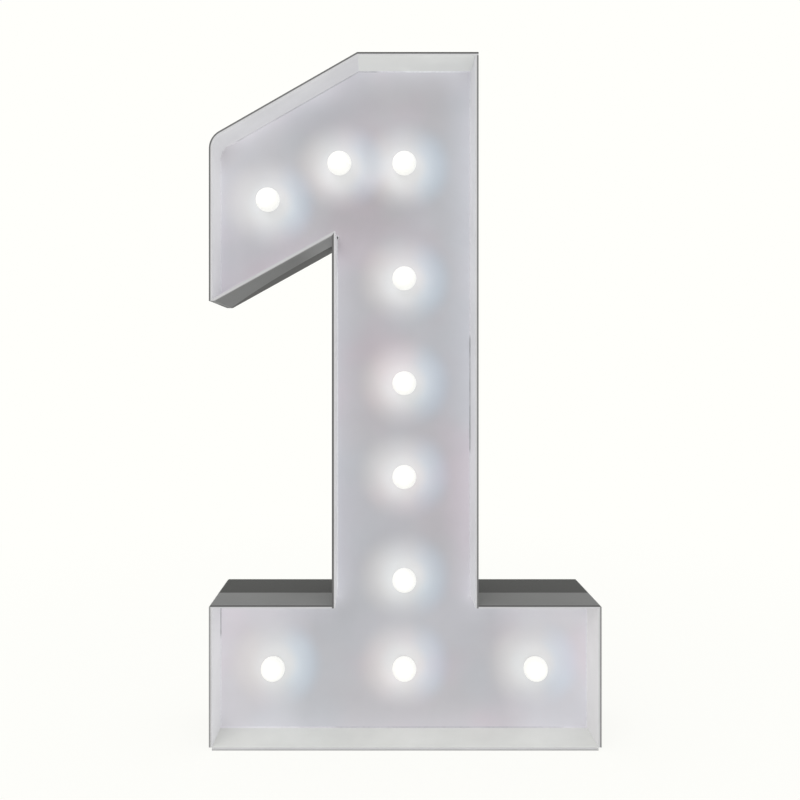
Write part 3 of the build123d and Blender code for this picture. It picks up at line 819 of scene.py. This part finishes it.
def dressCells(look):  # a printed sleeve round each cell, and bare steel on its two ends
    material, tree, shader = newMaterial("cellSleeve")
    skin = useGroup(tree, mouldedSkin, {"Matt": 0.26, "Wear": 0.6, "Grain": 500.0})
    metal = useGroup(tree, metalSkin, {"Matt": 0.25})
    normal = addNode(tree, "NewGeometry").outputs["True Normal"]
    end = ramp(tree, calc(tree, "ABSOLUTE", axes(tree, normal)[0]), 0.6, 0.8)
    sleeve = tinted(tree, look["sleeve"], skin["Tone"])
    steel = tinted(tree, look["steel"], metal["Tone"])
    feed(tree, shader.inputs["Base Color"], blendColours(tree, end, sleeve, steel))
    feed(tree, shader.inputs["Metallic"], end)
    feed(tree, shader.inputs["Roughness"], between(tree, end, skin["Rough"], metal["Rough"]))
    bump(tree, shader, skin["Height"], strength=0.1, depth=0.0002)
    setMaterial("battery_cells", material)


dressPosts(postLook)
dressCells(cellLook)
print("fittings dressed")


# Small parts that the frame leaves to this script

def addPiece(name, work, material, body, replaced=None):
    bmesh.ops.recalc_face_normals(work, faces=work.faces)
    mesh = bpy.data.meshes.new(name)
    work.to_mesh(mesh)
    work.free()
    mesh.materials.append(material)
    piece = bpy.data.objects.new(name, mesh)
    scene.collection.objects.link(piece)
    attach(piece, body)
    if replaced:
        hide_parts(replaced)


def addPoints(work, rings):
    return [[work.verts.new(point) for point in ring] for ring in rings]


def joinRings(work, rings):  # faces from each ring of vertices to the next
    for first, second in zip(rings, rings[1:]):
        for (a, b), (c, d) in zip(looped(first), looped(second)):
            work.faces.new((a, b, d, c))


def addRings(work, rings, closed=False):  # a skin over a row of rings, with its two ends capped or joined
    made = addPoints(work, rings)
    joinRings(work, made + made[:1] if closed else made)
    if not closed:
        work.faces.new(made[0][::-1])
        work.faces.new(made[-1])


def angles(steps):
    return [tau * step / steps for step in range(steps)]


def onCircle(middle, radius, angle, level):  # a point round an axis that runs from front to back
    return (middle.x + radius * cos(angle), level, middle.z + radius * sin(angle))


sealLook = {  # hot glue that holds the face panel to the walls
    "size": 0.0013,
    "sunk": 0.0002,
    "steps": 4,
    "ring": 0.0020,  # radius of its loop round the relief where hook and stem meet
    "ringSteps": 18,
    "plain": (0.48, 0.47, 0.50),
    # painted highlight: the paler tone of the glue where light catches it
    "pale": (0.60, 0.61, 0.62),
    "shaded": (0.28, 0.28, 0.30),
    "shadedRuns": [  # left, right, low and high end of each stretch in shade, and how deep the shade is
        (-0.235, -0.030, 0.790, 0.930, 0.5),
        (-0.270, -0.235, 0.125, 0.190, 1.0),
        (-0.100, 0.225, 0.000, 0.030, 1.0),
        (0.080, 0.110, 0.380, 0.550, 1.0),
    ],
    # stretches with a painted highlight, given the same way as the shaded ones
    "paintedHighlightRuns": [
        (-0.228, -0.140, 0.000, 0.030, 1.0),
        (-0.005, 0.080, 0.890, 0.930, 1.0),
        (-0.110, -0.080, 0.190, 0.640, 1.0),
        (-0.113, -0.073, 0.655, 0.695, 1.0),
    ],
    "runFade": 0.012,
    "waves": 24.0,  # scale of the unevenness along a stretch
    "waveShare": (0.35, 0.55, 0.6, 1.0),  # levels of that noise, and how much of the tint is left there
    "lumps": 260.0,
    "shadeTakes": 0.8,  # share of the light that the deepest shade takes away
    "ownLight": (0.02, 0.02, 0.02),
}


def makeGlue(look):
    material, tree, shader = newMaterial("hotGlue", Specular_IOR_Level=0.4)
    place = objectPlace(tree)
    x, _, z = axes(tree, place)
    waves = ramp(tree, noise(tree, look["waves"], 2.0, 0.5, place), *look["waveShare"])
    lumps = noise(tree, look["lumps"], 3.0, 0.5, place)
    fade = look["runFade"]

    def along(runs):
        mask = 0.0
        for left, right, foot, head, within in runs:
            for level, low, high in ((x, left, right), (z, foot, head)):
                within = times(tree, within, ramp(tree, level, low, low + fade),
                               ramp(tree, level, high, high - fade))
            mask = calc(tree, "MAXIMUM", mask, within)
        return times(tree, mask, waves)

    shaded = along(look["shadedRuns"])
    # the pale stretches are painted highlights
    colour = blendColours(tree, along(look["paintedHighlightRuns"]), rgba(look["plain"]), rgba(look["pale"]))
    colour = blendColours(tree, shaded, colour, rgba(look["shaded"]))
    skin = {
        "Tone": spreadNoise(tree, lumps, 0.95, 1.0),
        "Rough": spreadNoise(tree, lumps, 0.22, 0.42),
        "Height": lumps,
    }
    finishSkin(tree, shader, skin, colour, strength=0.4, depth=0.0004)
    share = inverse(tree, times(tree, shaded, look["shadeTakes"]))
    light = useGroup(tree, panelLight, {"Share": share})["Color"]
    lightUp(tree, shader, vectorCalc(tree, "ADD", light, tinted(tree, look["ownLight"], share)))
    return material


def makeSeal(look):
    quarter = [step * pi / 2 / look["steps"] for step in range(look["steps"] + 1)]
    section = [
        (-look["sunk"], -look["sunk"]),
        (look["size"], -look["sunk"]),
        *((look["size"] * cos(angle), look["size"] * sin(angle)) for angle in quarter),
        (-look["sunk"], look["size"]),
    ]
    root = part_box("hook_under_wall")[1]
    fromRoot = [(corner - Vector((root.x, 0.0, root.z))).length for corner in panelOutline]
    start = fromRoot.index(min(fromRoot))
    corner, *others = panelOutline[start:] + panelOutline[:start]
    turn = 1 if sum(a.x * b.z - b.x * a.z for a, b in looped(panelOutline)) > 0 else -1
    leave, arrive = (others[0] - corner).normalized(), (others[-1] - corner).normalized()
    first = atan2(arrive.z, arrive.x)
    sweep = (turn * (first - atan2(leave.z, leave.x))) % tau
    loop = [first - turn * sweep * step / look["ringSteps"] for step in range(look["ringSteps"] + 1)]
    chain = others + [corner + look["ring"] * Vector((cos(angle), 0.0, sin(angle))) for angle in loop]
    ways = [(b - a).normalized() for a, b in looped(chain)]
    inward = [Vector((-way.z, 0.0, way.x)) * turn for way in ways]
    mitres = [(before + after) / (1.0 + before.dot(after))
              for before, after in zip(inward[-1:] + inward, inward)]
    work = bmesh.new()
    addRings(work, [[spot + mitre * u + Vector((0.0, panelFront - v, 0.0)) for u, v in section]
                    for spot, mitre in zip(chain, mitres)], closed=True)
    addPiece("panelSeal", work, makeGlue(look), "case")


makeSeal(sealLook)


collarLook = {  # grip ring round each globe's neck
    "sunk": 0.0003,
    "foot": 0.0010,
    "head": 0.0054,
    "proud": 0.0015,
    "soft": 0.0005,
    "flutes": 22,
    "fluteDepth": 0.00045,
    "stepsPerFlute": 4,
}


def makeCollar(globeName, look, material):
    low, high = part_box(globeName)
    middle = (low + high) / 2
    neck = [vertex.co for vertex in cadNodes[globeName].data.vertices if vertex.co.y > high.y - 0.0001]
    radius = max((co - middle).xz.length for co in neck)
    inner = radius - look["sunk"]
    foot, head, soft = look["foot"], look["head"], look["soft"]
    rings = []
    for angle in angles(look["flutes"] * look["stepsPerFlute"]):
        outer = radius + look["proud"] - look["fluteDepth"] * (0.5 - 0.5 * cos(angle * look["flutes"]))
        section = [(inner, foot), (outer - soft, foot), (outer, foot + soft),
                   (outer, head - soft), (outer - soft, head), (inner, head)]
        rings.append([onCircle(middle, out, angle, high.y - along) for out, along in section])
    work = bmesh.new()
    addRings(work, rings, closed=True)
    addPiece(globeName.replace("bulb_globe", "globe_collar"), work, material,
             globeName.replace("bulb_", ""))


collarPlastic = makePlastic("collarPlastic", (0.62, 0.62, 0.61), 0.32, 0.3, glow=0.18)  # the globe lights it
for globeName in globeNames:
    makeCollar(globeName, collarLook, collarPlastic)
print("seal and collars made")


screwLooks = {
    "back_screws": {"head": 0.0020, "pitch": 0.0013},
    "unit_screws": {"head": 0.0014, "pitch": 0.0009},
}
screwShape = {  # pan head with a cross recess, over a cut thread; sizes are shares of the head or the shank
    "profile": [(1.0, 0.0), (1.0, 0.30), (0.95, 0.58), (0.82, 0.84), (0.66, 1.0)],  # radius and height
    "headSides": 24,
    "arm": 0.13,
    "reach": 0.46,
    "depth": 0.62,
    "taper": 0.55,
    "turnEach": 0.37,  # how much further each recess is turned than the last, in radians
    "threadSides": 12,
    "rowsPerTurn": 4,
    "core": 0.72,
    "tip": 3.0,
    "point": 0.12,
}


def addScrew(work, low, high, look, turn):
    middle = (low + high) / 2
    radius = (high.x - low.x) / 2
    base = high.y - look["head"]

    def around(share, height):
        return [onCircle(middle, radius * share, angle, base + height * look["head"])
                for angle in angles(look["headSides"])]

    def recess(size, height):
        arm, reach = look["arm"] * size, look["reach"] * size
        return [(middle.x + radius * (x * cos(angle) - z * sin(angle)), base + height * look["head"],
                 middle.z + radius * (x * sin(angle) + z * cos(angle)))
                for angle in (turn + quarter for quarter in angles(4))
                for x, z in ((reach, -arm), (reach, arm), (arm, arm))]

    skin = addPoints(work, [around(*ring) for ring in look["profile"]])
    hollow = addPoints(work, [recess(1.0, 1.0), recess(look["taper"], 1.0 - look["depth"])])
    joinRings(work, skin)
    joinRings(work, hollow)
    work.faces.new(skin[0][::-1])
    work.faces.new(hollow[1])
    rim = [work.edges.get(pair) for ring in (skin[-1], hollow[0]) for pair in looped(ring)]
    bmesh.ops.triangle_fill(work, use_beauty=True, use_dissolve=False, edges=rim)

    length = base - low.y
    rows = int(length / look["pitch"] * look["rowsPerTurn"])
    thread = []
    for along in (length * row / rows for row in range(rows + 1)):
        tip = min(1.0, (length - along) / (look["tip"] * look["shank"]) + look["point"])
        ring = []
        for angle in angles(look["threadSides"]):
            wave = abs(((along / look["pitch"] + angle / tau) % 1.0) * 2.0 - 1.0)
            out = look["shank"] * (look["core"] + (1.0 - look["core"]) * wave) * tip
            ring.append(onCircle(middle, out, angle, base - along))
        thread.append(ring)
    addRings(work, thread)


def makeScrews(nodeName, look):
    work = bmesh.new()
    flat = faceLevel(nodeName, 1, -1)
    ends = [vertex.co for vertex in cadNodes[nodeName].data.vertices if abs(vertex.co.y - flat) > 0.0002]
    for index, (low, high) in enumerate(islands(nodeName)):
        middle = (low + high) / 2
        tips = [co for co in ends if co.y < low.y + 0.0002 and (co - middle).xz.length < (high.x - low.x) / 2]
        shank = max((co - middle).xz.length for co in tips)
        addScrew(work, low, high, {**screwShape, **look, "shank": shank}, screwShape["turnEach"] * index)
    addPiece(nodeName.replace("_screws", "ScrewSet"), work, screwZinc, "case", nodeName)


for nodeName, look in screwLooks.items():
    makeScrews(nodeName, look)


markLook = {  # raised marks, moulded with the unit
    "proud": 0.0004,
    "sunk": 0.0001,
    "shoulder": 0.6,  # height at which a mark's sides start to draw in, and how wide its top is, as shares
    "arrowWidth": 0.007,
    "arrowHeight": 0.005,
    "arrowDrop": 0.020,  # from the door's upper edge
    "arrowSoft": 0.12,
    "markAway": 0.0032,  # from the switch slot to each mark
    "strokeWidth": 0.0007,
    "strokeSoft": 0.1,
    "markHeight": 0.0028,
    "ringSides": 32,
}


def addPlate(work, points, base, look, soft):  # a low raised shape with its top edge drawn in
    outline = [Vector(point) for point in points]
    middle = sum(outline, Vector((0.0, 0.0))) / len(outline)
    upper = [middle + (point - middle) * (1.0 - soft) for point in outline]
    levels = ((outline, -look["sunk"]), (outline, look["proud"] * look["shoulder"]), (upper, look["proud"]))
    addRings(work, [[(point.x, base + along, point.y) for point in ring] for ring, along in levels])


def makeMarks(look):
    doorLow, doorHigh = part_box("battery_door")
    x = (doorLow.x + doorHigh.x) / 2
    z = doorHigh.z - look["arrowDrop"]
    half = look["arrowWidth"] / 2
    work = bmesh.new()
    addPlate(work, [(x - half, z), (x + half, z), (x, z - look["arrowHeight"])],
             faceLevel("battery_door", 1, 1), look, look["arrowSoft"])
    addPiece("doorArrow", work, unitPlastic, "door")

    low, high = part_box("switch_body")
    middle = (low + high) / 2
    base = faceLevel("battery_tub", 1, 1)
    reach = (high.z - low.z) / 2 + look["markAway"]
    wide, tall = look["strokeWidth"] / 2, look["markHeight"] / 2
    x, z = middle.x, middle.z + reach
    work = bmesh.new()
    addPlate(work, [(x - wide, z - tall), (x + wide, z - tall), (x + wide, z + tall), (x - wide, z + tall)],
             base, look, look["strokeSoft"])
    middle.z -= reach
    top, side = wide * look["shoulder"], look["proud"] * look["shoulder"]
    section = [(-wide, -look["sunk"]), (wide, -look["sunk"]), (wide, side),
               (top, look["proud"]), (-top, look["proud"]), (-wide, side)]
    addRings(work, [[onCircle(middle, tall + out, angle, base + along) for out, along in section]
                    for angle in angles(look["ringSides"])], closed=True)
    addPiece("switchMarks", work, unitPlastic, "case")


makeMarks(markLook)
print("screws and marks made")


# Floor and light

studioLook = {
    "sky": 0.86,  # even light from all round
    "backdrop": (1.0, 1.0, 0.966),  # what the camera sees behind the number
    "keySize": 2.4,
    "keyPlace": (-1.3, -2.6, 2.5),
    "keyAim": (0.0, 0.0, 0.45),
    "keyPower": 26.0,
    "floorSize": 30.0,
    "floorTone": (0.975, 0.975, 0.955),
    "mottle": 3.0,  # scale of the floor's faint clouds
    "mottleTone": (0.2, 0.8, 0.995, 1.0),  # levels of that noise, and the tones there
    "floorShare": 0.12,  # how much of the floor's own shading the camera sees close to the object
    "shadeNear": 0.45,  # distances over which that share fades out
    "shadeFar": 1.5,
}


def seenDirectly(tree):  # 1 for the camera's rays and for what shows in gloss and glass
    rays = addNode(tree, "LightPath").outputs
    mirrored = calc(tree, "MAXIMUM", rays["Is Glossy Ray"], rays["Is Transmission Ray"])
    return calc(tree, "MAXIMUM", rays["Is Camera Ray"], mirrored)


def endTree(tree, kind, share, first, second):
    mixed = addNode(tree, "MixShader", {"Fac": share, 1: first.outputs[0], 2: second.outputs[0]})
    addNode(tree, kind, {"Surface": mixed.outputs[0]})


def makeStudio(look):
    world = bpy.data.worlds.new("studioSky")
    scene.world = world
    world.use_nodes = True
    tree = world.node_tree
    tree.nodes.clear()
    sky = addNode(tree, "Background", {"Color": grey(1.0), "Strength": look["sky"]})
    backdrop = addNode(tree, "Background", {"Color": rgba(look["backdrop"]), "Strength": 1.0})
    endTree(tree, "OutputWorld", seenDirectly(tree), sky, backdrop)

    lamp = bpy.data.lights.new("keyLamp", "AREA")
    lamp.size = look["keySize"]
    lamp.energy = look["keyPower"]
    key = bpy.data.objects.new("keyLamp", lamp)
    key.location = look["keyPlace"]
    key.rotation_euler = (Vector(look["keyAim"]) - key.location).to_track_quat("-Z", "Y").to_euler()
    scene.collection.objects.link(key)

    half = look["floorSize"] / 2
    corners = [(-half, -half, 0.0), (half, -half, 0.0), (half, half, 0.0), (-half, half, 0.0)]
    mesh = bpy.data.meshes.new("studioFloor")
    mesh.from_pydata(corners, [], [(0, 1, 2, 3)])
    floor = bpy.data.objects.new("studioFloor", mesh)
    scene.collection.objects.link(floor)
    material = bpy.data.materials.new("paleFloor")
    material.use_nodes = True
    tree = material.node_tree
    tree.nodes.clear()
    place = objectPlace(tree)
    mottle = ramp(tree, noise(tree, look["mottle"], 3.0, 0.5, place), *look["mottleTone"])
    shaded = addNode(tree, "BsdfDiffuse", {"Color": tinted(tree, look["floorTone"], mottle)})
    plain = addNode(tree, "Emission", {"Color": rgba(look["backdrop"]), "Strength": 1.0})
    away = vectorCalc(tree, "LENGTH", place)
    shading = ramp(tree, away, look["shadeFar"], look["shadeNear"], 0.0, look["floorShare"])
    endTree(tree, "OutputMaterial", times(tree, seenDirectly(tree), inverse(tree, shading)), shaded, plain)
    mesh.materials.append(material)


makeCamera(cameraLook)
makeStudio(studioLook)
scene.view_settings.view_transform = "Standard"
print("camera, floor and light set")
